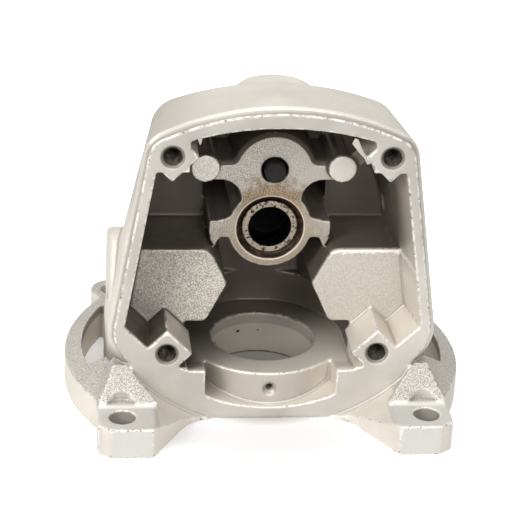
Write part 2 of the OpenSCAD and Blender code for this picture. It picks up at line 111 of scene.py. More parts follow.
class ShaderSheet:
    """The node tree of a material or of the world while it is being laid out."""

    def __init__(self, owner: bpy.types.Material | bpy.types.World) -> None:
        """Clears a node tree and reads the shaded point's place and normal.

        Args:
            owner: the material or world that has the tree.
        """
        self.owner = owner
        owner.use_nodes = True
        self.tree = owner.node_tree
        self.tree.nodes.clear()
        source = self.node("ShaderNodeTexCoord")
        self.coords = source.outputs["Object"]
        self.normals = source.outputs["Normal"]

    def node(self, kind: str, **settings: object) -> bpy.types.Node:
        """Adds a node.

        Args:
            kind: the node's type.
            **settings: attributes to set on it.

        Returns:
            The new node.
        """
        made = self.tree.nodes.new(kind)
        for key, value in settings.items():
            setattr(made, key, value)
        return made

    def feed(self, socket: Socket, value: Value) -> None:
        """Links or sets an input.

        Args:
            socket: the input.
            value: a socket to link from, or a plain value.
        """
        if isinstance(value, Socket):
            self.tree.links.new(value, socket)
        elif isinstance(value, tuple) and len(value) == 3 and len(socket.default_value) == 4:
            socket.default_value = (*value, 1.0)
        else:
            socket.default_value = value

    def chain(self, operation: str, *values: Value) -> Socket:
        """Joins values by one operation of the Math node, from the left.

        Args:
            operation: the node's operation.
            *values: two or more values.

        Returns:
            The result socket.
        """
        made = values[0]
        for value in values[1:]:
            step = self.node("ShaderNodeMath", operation=operation)
            self.feed(step.inputs[0], made)
            self.feed(step.inputs[1], value)
            made = step.outputs[0]
        return made

    def both(self, *masks: Value) -> Socket:
        """Returns the product of several masks."""
        return self.chain("MULTIPLY", *masks)

    def either(self, *masks: Value) -> Socket:
        """Returns the highest of several masks."""
        return self.chain("MAXIMUM", *masks)

    def invert(self, mask: Value) -> Socket:
        """Returns a mask with 0 and 1 exchanged."""
        return self.chain("SUBTRACT", 1.0, mask)

    def lean(self, value: Value, other: Value, share: float) -> Socket:
        """Returns a value plus a share of another, for limits that run aslant."""
        return self.chain("ADD", value, self.both(other, share))

    def ramp(self, value: Value, low: float, high: float, to_low: Value = 0.0,
             to_high: Value = 1.0, kind: str = "SMOOTHSTEP") -> Socket:
        """Maps a value from one range to another.

        Args:
            value: what is mapped.
            low: value that gives to_low.
            high: value that gives to_high.
            to_low: result at low.
            to_high: result at high.
            kind: the node's interpolation.

        Returns:
            The result socket.
        """
        made = self.node("ShaderNodeMapRange", interpolation_type=kind)
        for name, item in (("Value", value), ("From Min", low), ("From Max", high),
                           ("To Min", to_low), ("To Max", to_high)):
            self.feed(made.inputs[name], item)
        return made.outputs[0]

    def fall(self, value: Value, low: float, high: float) -> Socket:
        """Marks what is below low, fading out towards high."""
        return self.ramp(value, low, high, 1.0, 0.0)

    def between(self, mask: Value, off: Value, on: Value) -> Socket:
        """Returns one value where a mask is 0 and another where it is 1."""
        return self.ramp(mask, 0.0, 1.0, off, on)

    def spread(self, noise: Value, lowest: float, highest: float) -> Socket:
        """Stretches the middle of a noise over a range of values."""
        return self.ramp(noise, 0.3, 0.7, lowest, highest)

    def band(self, value: Value, low: float, high: float, soft: float = 0.2) -> Socket:
        """Marks where a value lies in a range.

        Args:
            value: what is looked at.
            low: start of the range.
            high: end of the range.
            soft: width of its soft ends.

        Returns:
            A socket that is 1 in the range and 0 outside.
        """
        half = soft / 2
        return self.both(self.ramp(value, low - half, low + half),
                         self.fall(value, high - half, high + half))

    def attribute(self, name: str) -> Socket:
        """Returns a number stored on the mesh, as a socket."""
        return self.node("ShaderNodeAttribute", attribute_name=name).outputs["Fac"]

    def vector(self, operation: str, a: Value, b: Value = ORIGIN) -> bpy.types.Node:
        """Adds a Vector Math node.

        Args:
            operation: the node's operation.
            a: first input.
            b: second input.

        Returns:
            The node.
        """
        made = self.node("ShaderNodeVectorMath", operation=operation)
        self.feed(made.inputs[0], a)
        self.feed(made.inputs[1], b)
        return made

    def times(self, colour: Value, shade: Value) -> Socket:
        """Returns a colour multiplied by a value."""
        return self.vector("MULTIPLY", colour, shade).outputs[0]

    def noise(self, scale: float, detail: float = 2.0, roughness: float = 0.5) -> Socket:
        """Adds a noise on the piece's own coordinates.

        Args:
            scale: waves per metre.
            detail: octaves.
            roughness: strength of the finer octaves.

        Returns:
            The value socket.
        """
        made = self.node("ShaderNodeTexNoise")
        for name, item in (("Vector", self.coords), ("Scale", scale), ("Detail", detail),
                           ("Roughness", roughness)):
            self.feed(made.inputs[name], item)
        return made.outputs[0]

    def mix(self, share: Value, a: Value, b: Value) -> Socket:
        """Mixes two colours.

        Args:
            share: how much of b.
            a: first colour.
            b: second colour.

        Returns:
            The colour socket.
        """
        made = self.node("ShaderNodeMix", data_type="RGBA")
        for number, item in ((0, share), (6, a), (7, b)):
            self.feed(made.inputs[number], item)
        return made.outputs[2]

    def distance(self, centre: Point, weights: Point = (1.0, 1.0, 1.0)) -> Socket:
        """Measures how far the shaded point is from a place.

        Args:
            centre: the place, in millimetres.
            weights: how much each axis counts.

        Returns:
            The distance in millimetres, as a socket.
        """
        away = self.vector("SUBTRACT", self.coords, tuple(c * MM for c in centre))
        scaled = self.times(away.outputs[0], tuple(w / MM for w in weights))
        return self.vector("LENGTH", scaled).outputs["Value"]

    def part(self, vector: Socket, name: str, factor: float) -> Socket:
        """Returns one coordinate of a vector, times a factor."""
        way = tuple(factor * (name == letter) for letter in "XYZ")
        return self.vector("DOT_PRODUCT", vector, way).outputs["Value"]

    def axis(self, name: str) -> Socket:
        """Returns one coordinate of the shaded point in millimetres."""
        return self.part(self.coords, name, 1 / MM)

    def facing(self, name: str, sign: float, least: float = 0.8) -> Socket:
        """Marks what faces along one axis.

        Args:
            name: the axis.
            sign: 1 or -1, the way that it faces.
            least: how squarely it has to face that way.

        Returns:
            The mask socket.
        """
        return self.ramp(self.part(self.normals, name, sign), least, min(least + 0.12, 0.999))

    def bump(self, height: Value, strength: Value, depth: float) -> Socket:
        """Adds a bump.

        Args:
            height: the height socket.
            strength: how strongly it shows.
            depth: its depth in metres.

        Returns:
            The normal socket.
        """
        made = self.node("ShaderNodeBump")
        for name, item in (("Strength", strength), ("Distance", depth), ("Height", height)):
            self.feed(made.inputs[name], item)
        return made.outputs[0]

    def close(self, shader: bpy.types.Node, kind: str = "ShaderNodeOutputMaterial") -> None:
        """Leads the last shader to the tree's output node."""
        self.feed(self.node(kind).inputs["Surface"], shader.outputs[0])

    def surface(self, colour: Value, roughness: Value, metallic: float,
                normal: Socket, specular: float = 0.5) -> bpy.types.Material:
        """Closes the sheet with a surface shader.

        Args:
            colour: base colour.
            roughness: roughness.
            metallic: share of metal.
            normal: normal socket.
            specular: strength of its plain reflection.

        Returns:
            The finished material.
        """
        shader = self.node("ShaderNodeBsdfPrincipled")
        for name, item in (("Base Color", colour), ("Roughness", roughness),
                           ("Metallic", metallic), ("Specular IOR Level", specular),
                           ("Normal", normal)):
            self.feed(shader.inputs[name], item)
        self.close(shader)
        return self.owner


# --- Finishes ---


@dataclass(frozen=True)
class CastFinish:
    """Die-cast aluminium: its skin, cut faces, grainy faces, painted light, painted shade with
    oily dirt, and stains.
    """

    skin: Colour = (0.76, 0.715, 0.64)
    dull: Colour = (0.69, 0.645, 0.57)
    cut: Colour = (0.60, 0.57, 0.52)
    cut_dull: Colour = (0.53, 0.50, 0.455)
    pad: Colour = (0.62, 0.585, 0.53)
    grainy: Colour = (0.56, 0.52, 0.46)
    inner: Colour = (0.52, 0.475, 0.42)
    bright: Colour = (0.80, 0.75, 0.67)
    low_flat: Colour = (0.52, 0.495, 0.45)
    foot: Colour = (0.64, 0.625, 0.59)
    # Painted shade deep inside, with some oily dirt
    shade_and_grime: Colour = (0.066, 0.055, 0.046)
    shade_and_grime_pale: Colour = (0.120, 0.102, 0.086)
    bore: Colour = (0.62, 0.575, 0.51)
    burr_and_highlight: Colour = (0.84, 0.81, 0.75)
    nick: Colour = (0.11, 0.095, 0.08)
    rust: Colour = (0.09, 0.042, 0.018)
    rust_pale: Colour = (0.34, 0.22, 0.12)
    tint: Colour = (0.26, 0.19, 0.115)
    tint_pale: Colour = (0.36, 0.29, 0.19)
    oil: Colour = (0.020, 0.011, 0.007)
    oil_pale: Colour = (0.085, 0.050, 0.028)
    seat_rim_highlight: Colour = (0.60, 0.53, 0.43)
    pin_hole_shade: Colour = (0.030, 0.026, 0.023)
    plain_hole_shade: Colour = (0.30, 0.275, 0.235)
    chamfer: Colour = (0.17, 0.16, 0.14)
    tapped_wall_shade: Colour = (0.022, 0.019, 0.016)
    pore: Colour = (0.02, 0.018, 0.016)
    pores: tuple[tuple[Point, float], ...] = (
        ((-5.6, 14.0, 7.6), 0.75), ((0.6, 15.0, 7.4), 0.4), ((-13.0, 7.6, 7.0), 0.45))
    grain_per_m: float = 3300.0
    grain_depth_m: float = 0.00012
    roughness: float = 0.45
    metallic: float = 0.35
    specular: float = 0.3

    def build(self) -> bpy.types.Material:
        """Returns the material of the whole casting."""
        return CastSheet(self).finish()


class CastSheet(ShaderSheet):
    """The casting's sheet: its zones, and the steps that paint and stain them."""

    def __init__(self, cast: CastFinish) -> None:
        """Reads what the zones are told apart by, and finds them.

        Args:
            cast: the colours of the casting.
        """
        super().__init__(bpy.data.materials.new("cast aluminium"))
        self.cast = cast
        self.x, self.y, self.z = (self.axis(name) for name in "XYZ")
        self.inside = self.attribute("inside")
        self.outside = self.invert(self.inside)
        self.front = self.facing("Y", -1.0)
        self.inner_front = self.both(self.inside, self.front)
        self.radius = self.distance((0.0, 0.0, MOTOR_H), ALONG_Y)
        self.centre = self.distance(ORIGIN, ALONG_Z)
        self.over_ring = self.ramp(self.z, SHELL_H, SHELL_H + 4.0)
        self.on_lugs = self.fall(self.y, LUG_REAR_Y, LUG_REAR_Y + 0.5)
        # Painted shade mask: all that lies within the cup, behind its front
        self.cup_shade = self.both(self.fall(self.radius, CUP_R + 0.1, CUP_R + 0.4),
                                    self.ramp(self.y, TOWER_Y + 0.6, TOWER_Y + 1.2),
                                    self.fall(self.y, NOSE_Y - 0.4, NOSE_Y))
        self.colour: Value = BLACK
        self.zones = self.find_zones()

    def at_depth(self, depth: float, reach: float = 0.6) -> Socket:
        """Marks the plane at one distance to the rear."""
        return self.band(self.y, depth - reach, depth + reach)

    def paint(self, mask: Value, colour: Value) -> None:
        """Lays a colour over what is there, where a mask is 1."""
        self.colour = self.mix(mask, self.colour, colour)

    def shade(self, value: Value) -> None:
        """Multiplies the colour so far by a value."""
        self.colour = self.times(self.colour, value)

    def finish(self) -> bpy.types.Material:
        """Paints the casting step by step.

        Returns:
            The material.
        """
        cast, grainy = self.cast, self.zones["grain"]
        self.outer_faces()
        self.inner_faces()
        grain = self.noise(cast.grain_per_m, 2.0, 0.65)
        swing = self.both(self.ramp(grain, 0.36, 0.64, -1.0, 1.0),
                          self.between(grainy, 0.03, 0.52))
        self.shade(self.chain("ADD", swing, 1.0))
        for step in (self.stain, self.seat, self.holes, self.edges, self.pits):
            step()
        rough = self.spread(self.noise(160.0), cast.roughness - 0.07, cast.roughness + 0.07)
        # Fully rough in the painted shade behind the cup
        rough = self.between(self.cup_shade, rough, 1.0)
        normal = self.bump(grain, self.between(grainy, 0.08, 0.8), cast.grain_depth_m)
        return self.surface(self.colour, rough, cast.metallic, normal, cast.specular)

    def outer_faces(self) -> None:
        """Paints the cast skin, the machined faces, the ring and the front lugs, with painted
        light and shade on the skin, the cut faces and the shoulder.
        """
        cast, zones, x, z = self.cast, self.zones, self.x, self.z
        self.colour = self.mix(self.ramp(self.noise(55.0, 3.0, 0.55), 0.35, 0.68),
                               cast.skin, cast.dull)
        # Painted shade: the skin darker high on the left
        high_left_shade = self.both(self.fall(x, -40.0, -6.0), self.ramp(z, 50.0, 75.0))
        self.shade(self.between(high_left_shade, 1.0, 0.72))
        cut = self.mix(self.ramp(self.noise(70.0), 0.38, 0.66), cast.cut, cast.cut_dull)
        # Painted light and shade on the cut faces: darker to the left, lighter low and darker
        # high on the right, darker towards the top
        right = self.between(self.ramp(x, 24.0, 36.0), 1.0,
                             self.ramp(z, 26.0, 70.0, 1.14, 0.83))
        for shade in (self.ramp(x, -42.0, 20.0, 0.91, 0.96), right,
                      self.ramp(z, 74.0, 86.0, 1.0, 0.89)):
            cut = self.times(cut, shade)
        self.paint(zones["cut"], cut)
        # Painted shade on the sloping shoulder beside the motor face
        sloping_shade = self.both(zones["shoulder"], self.invert(self.front))
        self.shade(self.between(sloping_shade, 1.0, 0.90))
        self.paint(zones["flat"], cast.low_flat)
        self.paint(zones["gusset"], cast.low_flat)
        self.paint(self.both(self.either(self.front, zones["lug"]), self.on_lugs,
                             self.fall(z, 12.0, 14.0)), cast.foot)

    def inner_faces(self) -> None:
        """Paints the inner walls with painted light, the blocks, the tower, the spindle bore, and
        painted shade with oily dirt.
        """
        cast, zones, x, z = self.cast, self.zones, self.x, self.z
        # Inner walls, with painted light on the ledges, the lit floor and the low right
        self.paint(self.inside, self.mix(zones["bright"], cast.inner, cast.bright))
        # Painted shade: grainy faces darker towards the lower left, where the left wall shadows
        # them, and the tower a fifth darker
        shaded = self.ramp(self.lean(x, z, -0.7), -66.0, -38.0, 0.62, 0.97)
        grainy = self.times(cast.grainy, self.between(zones["tower"], 1.0, 0.80))
        grainy = self.times(grainy, self.between(zones["tower"], shaded, 1.0))
        self.paint(self.both(self.inner_front, zones["face"]), grainy)
        self.paint(zones["pad"], cast.pad)
        # Painted shade: the bore wall darker in a band at its top, and a dark line at its bottom
        # edge where it meets the floor
        bore = self.times(cast.bore, self.ramp(z, 9.6, 10.0, 1.0, 0.72))
        self.paint(zones["bore"], self.times(bore, self.ramp(z, 0.35, 0.6, 0.2, 1.0)))
        # Painted shade with oily dirt, lighter to the right where the key lamp reaches
        shade_and_grime = self.mix(self.noise(90.0), cast.shade_and_grime, cast.shade_and_grime_pale)
        self.paint(zones["shade_and_grime"], self.times(shade_and_grime, self.ramp(x, -36.0, 12.0, 1.0, 1.25)))

    def find_zones(self) -> dict[str, Socket]:
        """Finds the zones that the maker and years of grease left with different finishes, and
        those of painted light and shade.

        Returns:
            The mask of each zone.
        """
        x, y, z, inside, outside = self.x, self.y, self.z, self.inside, self.outside
        both, either, ramp, fall = self.both, self.either, self.ramp, self.fall
        upward = self.facing("Z", 1.0, 0.35)
        tower = self.at_depth(TOWER_Y)
        face = either(self.at_depth(BLOCK_Y, 0.7), tower)
        pad = self.at_depth(PAD_Y)
        beside_plane = self.invert(both(self.front, either(face, pad)))
        # The machined faces and the outer slope beside them
        motor_face = both(self.front, fall(y, FACE_Y + 0.3, FACE_Y + 0.5))
        base = both(self.facing("Z", -1.0), fall(z, 0.2, 0.5))
        shoulder = both(outside, self.over_ring, fall(y, FACE_Y + 1.8, FACE_Y + 2.6))
        bore = both(fall(self.centre, BORE_R + 0.6, BORE_R + 1.0),
                    fall(z, FLOOR_H + 0.3, FLOOR_H + 0.6))
        # The low flats outside: ring, gussets, lugs and the walls of the guard slots
        low = both(outside, fall(z, SHELL_H, SHELL_H + 8.0), ramp(z, RING_H - 1.0, RING_H - 0.4))
        flat = both(low, upward, ramp(self.centre, 46.8, 47.4))
        gusset = both(low, upward, fall(y, FACE_Y - 0.7, FACE_Y - 0.3),
                      ramp(z, RING_H + 0.9, RING_H + 1.3))
        lug = both(fall(z, RING_H + 0.8, RING_H + 1.2), self.on_lugs)
        slot = both(low, self.band(self.centre, 38.0, 53.2, 0.6), self.invert(upward),
                    ramp(z, 0.4, 1.4), ramp(y, FACE_Y + 1.5, FACE_Y + 2.5))
        # Painted light inside: the posts' ledges and the front and right of the floor, which the
        # painted shade spares
        aslant = self.lean(y, x, -0.5)
        floor = both(inside, upward, fall(z, FLOOR_H + 1.5, FLOOR_H + 3.0))
        inward = either(*(
            both(self.facing("X", way, 0.4), self.band(x, low_x, high_x, 1.0))
            for way, low_x, high_x in ((1.0, -31.0, -18.0), (-1.0, 18.0, 31.0))))
        ledge = both(inward, self.facing("Z", 1.0, 0.4), self.band(z, 15.0, 34.0, 2.0),
                     fall(y, BLOCK_Y - 1.5, BLOCK_Y), ramp(x, -8.0, 8.0, 0.62))
        lit = either(ledge, both(floor, fall(aslant, -26.0, -2.0)))
        unlit = self.between(lit, 1.0, 0.0)
        # Painted light: the low right inside, where the key lamp falls
        low_right = both(ramp(x, 8.0, 20.0), fall(z, 38.0, 54.0),
                         fall(y, BLOCK_Y - 1.0, BLOCK_Y + 3.0))
        # Painted shade, with some oily dirt: deep inside, in the low left channel where the left
        # wall shades it, and in the guard slots
        depth = self.between(floor, ramp(y, -24.0, -8.0), ramp(aslant, -14.0, 12.0))
        deep = both(inside, depth, beside_plane, unlit,
                    self.between(low_right, 1.0, 0.12), 0.93)
        channel = both(inside, fall(self.lean(x, z, 0.5), -17.0, -9.0), fall(z, 36.0, 44.0),
                       ramp(y, FACE_Y + 0.2, FACE_Y + 1.8), beside_plane, unlit, 0.96)
        # Grain: on the blocks and the tower, less to the right, and on the low flats
        smoother = both(ramp(x, -6.0, 14.0, 1.0, 0.4), self.inner_front)
        return {
            "face": face, "tower": tower, "bore": bore, "flat": flat, "gusset": gusset,
            "shoulder": shoulder, "pad": both(self.inner_front, pad),
            "lug": both(lug, upward, low),
            "cut": either(motor_face, base, shoulder),
            "bright": either(low_right, lit),
            "shade_and_grime": either(deep, channel, both(slot, 0.6)),
            "grain": either(both(flat, self.between(lug, 0.6, 0.12)),
                            both(gusset, 0.8),
                            both(smoother, self.between(face, 0.0, 0.72)),
                            both(smoother, self.between(pad, 0.0, 0.4)))}

    def stain(self) -> None:
        """Lays burnt oil around the needle bearing, most of it above."""
        cast, z = self.cast, self.z
        blotch = self.spread(self.noise(420.0, 3.0, 0.6), -2.2, 2.2)
        ragged = self.chain("ADD", self.radius, blotch)
        near = self.both(self.inner_front, self.at_depth(TOWER_Y))
        above = self.ramp(z, MOTOR_H + 1.0, MOTOR_H + 10.0, 0.15)
        halo = self.both(self.fall(ragged, 11.5, 17.5), above, near)
        grains = self.ramp(self.noise(1900.0, 2.0, 0.6), 0.40, 0.58, 0.5)
        self.paint(self.both(halo, grains),
                   self.mix(self.noise(700.0), cast.rust, cast.rust_pale))
        below = self.ramp(z, MOTOR_H - 8.0, MOTOR_H + 4.0, 0.66, 0.26)
        self.paint(self.both(self.fall(ragged, 12.5, 19.0), below, near),
                   self.mix(grains, cast.tint_pale, cast.tint))

    def seat(self) -> None:
        """Blackens the groove around the bearing with oil, paints shade black over all that lies
        behind it, and paints a highlight on the seat's edge.
        """
        y, radius = self.y, self.radius
        edge = self.chain("ADD", radius, self.spread(self.noise(260.0), -0.18, 0.18))
        groove = self.both(self.ramp(y, TOWER_Y - 0.5, TOWER_Y - 0.3),
                           self.fall(y, NOSE_Y - 2.0, NOSE_Y - 1.0),
                           self.fall(edge, SEAT_R - 0.25, SEAT_R))
        oily = self.ramp(self.noise(500.0, 3.0, 0.6), 0.46, 0.72)
        self.paint(groove, self.mix(oily, self.cast.oil, self.cast.oil_pale))
        # Painted shade: black over all behind the cup
        self.paint(self.cup_shade, BLACK)
        # Painted highlight: a thin pale line on the seat's edge
        rim_highlight = self.both(self.band(radius, SEAT_R - 0.05, SEAT_R + 0.3, 0.12),
                        self.front, self.ramp(y, TOWER_Y - 0.6, TOWER_Y - 0.4),
                        self.fall(y, TOWER_Y + 0.5, TOWER_Y + 0.7))
        self.paint(rim_highlight, self.cast.seat_rim_highlight)

    def holes(self) -> None:
        """Paints shade into the holes of the pin, the oil and the front lugs, darkens the screw
        chamfers, and paints shade on the tapped walls.
        """
        cast, y = self.cast, self.y
        pin = self.distance((PIN_X, 0.0, PIN_H), ALONG_Y)
        # Painted shade inside the pin hole
        self.paint(self.both(self.ramp(y, TOWER_Y - 0.3, TOWER_Y), self.fall(y, 14.0, 15.0),
                             self.fall(pin, PIN_HOLE_R + 0.1, PIN_HOLE_R + 0.4)),
                   cast.pin_hole_shade)
        oil = self.distance((0.0, -COLLAR_R, OIL_HOLE_H), (1.0, 0.4, 1.0))
        # Painted shade in the oil hole's countersink
        self.paint(self.both(self.fall(oil, 1.9, 2.3), 0.6), cast.plain_hole_shade)
        for sx in (-1, 1):
            for sz in (-1, 1):
                reach = self.distance((sx * SCREW_HALF, 0.0, MOTOR_H + sz * SCREW_HALF),
                                      ALONG_Y)
                self.paint(self.both(self.band(reach, SCREW_R - 0.3, SCREW_R + 0.85),
                                     self.fall(y, FACE_Y + 1.6, FACE_Y + 2.0), 0.85),
                           cast.chamfer)
                # Painted shade on the tapped walls
                self.paint(self.both(self.fall(reach, SCREW_R + 0.4, SCREW_R + 0.7),
                                     self.ramp(y, FACE_Y + 1.4, FACE_Y + 1.9),
                                     self.fall(y, -12.0, -11.6)), cast.tapped_wall_shade)
            lug = self.distance((sx * LUG_X, LUG_Y, 0.0), ALONG_Z)
            # Painted shade in the front lugs' holes
            self.paint(self.both(self.fall(lug, LUG_HOLE_R - 0.2, LUG_HOLE_R + 0.3), 0.9),
                       cast.plain_hole_shade)

    def edges(self) -> None:
        """Brightens worn edges with a painted highlight, nicks them, paints shade into creases,
        and draws a burred band along the right block's top.
        """
        y = self.y
        bend = self.attribute("bend")
        shaft = self.both(self.fall(self.radius, SEAT_R + 0.25, SEAT_R + 0.65),
                          self.ramp(y, TOWER_Y - 0.2, TOWER_Y))
        step = self.both(self.outside, self.over_ring,
                         self.band(y, FACE_Y + 0.45, FACE_Y + 4.0))
        clear = self.both(self.invert(shaft), self.between(step, 1.0, 0.12))
        # Painted highlight with wear on the outer edges, weaker deeper inside
        outer = self.both(self.ramp(bend, 0.30, 0.50), clear)
        speck = self.ramp(self.noise(520.0, 3.0, 0.6), 0.42, 0.56, 0.1)
        self.paint(self.both(outer, speck, self.ramp(y, FACE_Y + 3.0, FACE_Y + 8.0, 0.8, 0.3)),
                   self.cast.burr_and_highlight)
        self.paint(self.both(outer, self.ramp(self.noise(1150.0), 0.60, 0.66),
                             self.ramp(y, FACE_Y + 3.0, FACE_Y + 6.0, 0.7, 0.2)), self.cast.nick)
        # Painted shade in the creases
        crease_shade = self.both(self.fall(bend, -0.40, -0.20), clear)
        self.shade(self.between(crease_shade, 1.0, 0.72))
        ragged = self.chain("ADD", self.z, self.spread(self.noise(500.0), -0.5, 0.5))
        self.paint(self.both(self.band(ragged, BLOCK_TOP - 1.3, BLOCK_TOP + 0.4, 0.4),
                             self.inside, self.ramp(self.x, 12.0, 15.0),
                             self.fall(y, BLOCK_Y + 0.9, BLOCK_Y + 1.6), 0.75), self.cast.burr_and_highlight)

    def pits(self) -> None:
        """Puts the small pores in the wall of the spindle bore."""
        for place, size in self.cast.pores:
            near = self.distance(place, (1.0, 0.35, 1.7))
            self.paint(self.ramp(near, size * 0.7, size, 0.93, 0.0), self.cast.pore)


@dataclass(frozen=True)
class RubberFinish:
    """Black rubber with a fine dusty bloom."""

    name: str = "black rubber"
    black: Colour = (0.010, 0.0095, 0.0095)
    bloom: Colour = (0.020, 0.019, 0.018)
    roughness: float = 0.75
    specular: float = 0.25

    def build(self) -> bpy.types.Material:
        """Lays out this finish.

        Returns:
            The material.
        """
        sheet = ShaderSheet(bpy.data.materials.new(self.name))
        dust = sheet.noise(600.0, 3.0, 0.6)
        colour = sheet.mix(sheet.ramp(dust, 0.35, 0.7), self.black, self.bloom)
        rough = sheet.spread(dust, self.roughness - 0.08, self.roughness + 0.1)
        normal = sheet.bump(sheet.noise(2500.0), 0.2, 0.00004)
        return sheet.surface(colour, rough, 0.0, normal, self.specular)


@dataclass(frozen=True)
class SteelFinish:
    """Bearing steel, ground or drawn, with dark oil in patches, and painted shade behind a depth
    where one is given.
    """

    name: str
    pale: Colour
    oil: Colour
    oil_from: float
    roughness: float
    shade_behind: float | None = None
    oil_reach: float = 0.20
    specks_per_m: float = 650.0

    def build(self) -> bpy.types.Material:
        """Lays out this finish.

        Returns:
            The material.
        """
        sheet = ShaderSheet(bpy.data.materials.new(self.name))
        patch = sheet.ramp(sheet.noise(self.specks_per_m, 4.0, 0.65), self.oil_from,
                           self.oil_from + self.oil_reach)
        colour = sheet.mix(patch, self.pale, self.oil)
        rough = sheet.spread(sheet.noise(900.0), self.roughness - 0.08, self.roughness + 0.14)
        # Painted shade: black and fully rough behind the given depth
        if self.shade_behind is not None:
            behind = sheet.ramp(sheet.axis("Y"), self.shade_behind, self.shade_behind + 0.15)
            colour = sheet.mix(behind, colour, BLACK)
            rough = sheet.between(behind, rough, 1.0)
        normal = sheet.bump(sheet.noise(3200.0, 1.0), 0.15, 0.00003)
        return sheet.surface(colour, rough, 0.9, normal)


# --- Modelling helpers ---


def deselect_all() -> None:
    """Leaves nothing selected and no object active."""
    for obj in bpy.context.selected_objects:
        obj.select_set(False)
    bpy.context.view_layer.objects.active = None


def make_active(obj: bpy.types.Object) -> None:
    """Makes an object active and selects it alone.

    Args:
        obj: the object.
    """
    deselect_all()
    obj.select_set(True)
    bpy.context.view_layer.objects.active = obj


def edit_whole(obj: bpy.types.Object, *steps: Callable[[], object]) -> None:
    """Runs edit-mode steps on the whole mesh of a piece.

    Args:
        obj: the piece.
        *steps: the steps, each a function that takes nothing.
    """
    make_active(obj)
    bpy.ops.object.mode_set(mode="EDIT")
    bpy.ops.mesh.select_all(action="SELECT")
    for step in steps:
        step()
    bpy.ops.object.mode_set(mode="OBJECT")


def face_outwards() -> None:
    """Turns the selected faces outwards, in edit mode."""
    bpy.ops.mesh.normals_make_consistent(inside=False)


def apply_place() -> None:
    """Puts the active object's place, turn and scale into its mesh."""
    bpy.ops.object.transform_apply(location=True, rotation=True, scale=True)


def finish_with(obj: bpy.types.Object, kind: str, **settings: object) -> None:
    """Adds a modifier and applies it.

    Args:
        obj: the piece.
        kind: the modifier's type.
        **settings: its settings.
    """
    make_active(obj)
    made = obj.modifiers.new(kind.lower(), kind)
    for key, value in settings.items():
        setattr(made, key, value)
    bpy.ops.object.modifier_apply(modifier=made.name)


def cut_away(obj: bpy.types.Object, cutter: bpy.types.Object) -> None:
    """Cuts one piece out of another and removes the cutter."""
    finish_with(obj, "BOOLEAN", operation="DIFFERENCE", object=cutter, solver="EXACT")
    bpy.data.objects.remove(cutter, do_unlink=True)


def coat(mesh: bpy.types.Mesh, material: bpy.types.Material) -> None:
    """Puts one material on a mesh, in place of all that it had."""
    mesh.materials.clear()
    mesh.materials.append(material)


def enrol(obj: bpy.types.Object, name: str) -> None:
    """Names a piece of cast metal, lets it ride on the housing and reports it.

    Args:
        obj: the piece.
        name: its name.
    """
    obj.name = name
    obj.data.name = name
    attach(obj, "housing")
    LOG.info("%s: %d faces", name, len(obj.data.polygons))


def settle(obj: bpy.types.Object, name: str, material: bpy.types.Material) -> None:
    """Finishes a small piece of cast metal.

    Args:
        obj: the piece.
        name: its name.
        material: its material.
    """
    make_active(obj)
    apply_place()
    coat(obj.data, material)
    bpy.ops.object.shade_smooth_by_angle(angle=math.radians(38))
    enrol(obj, name)


# --- The casting ---


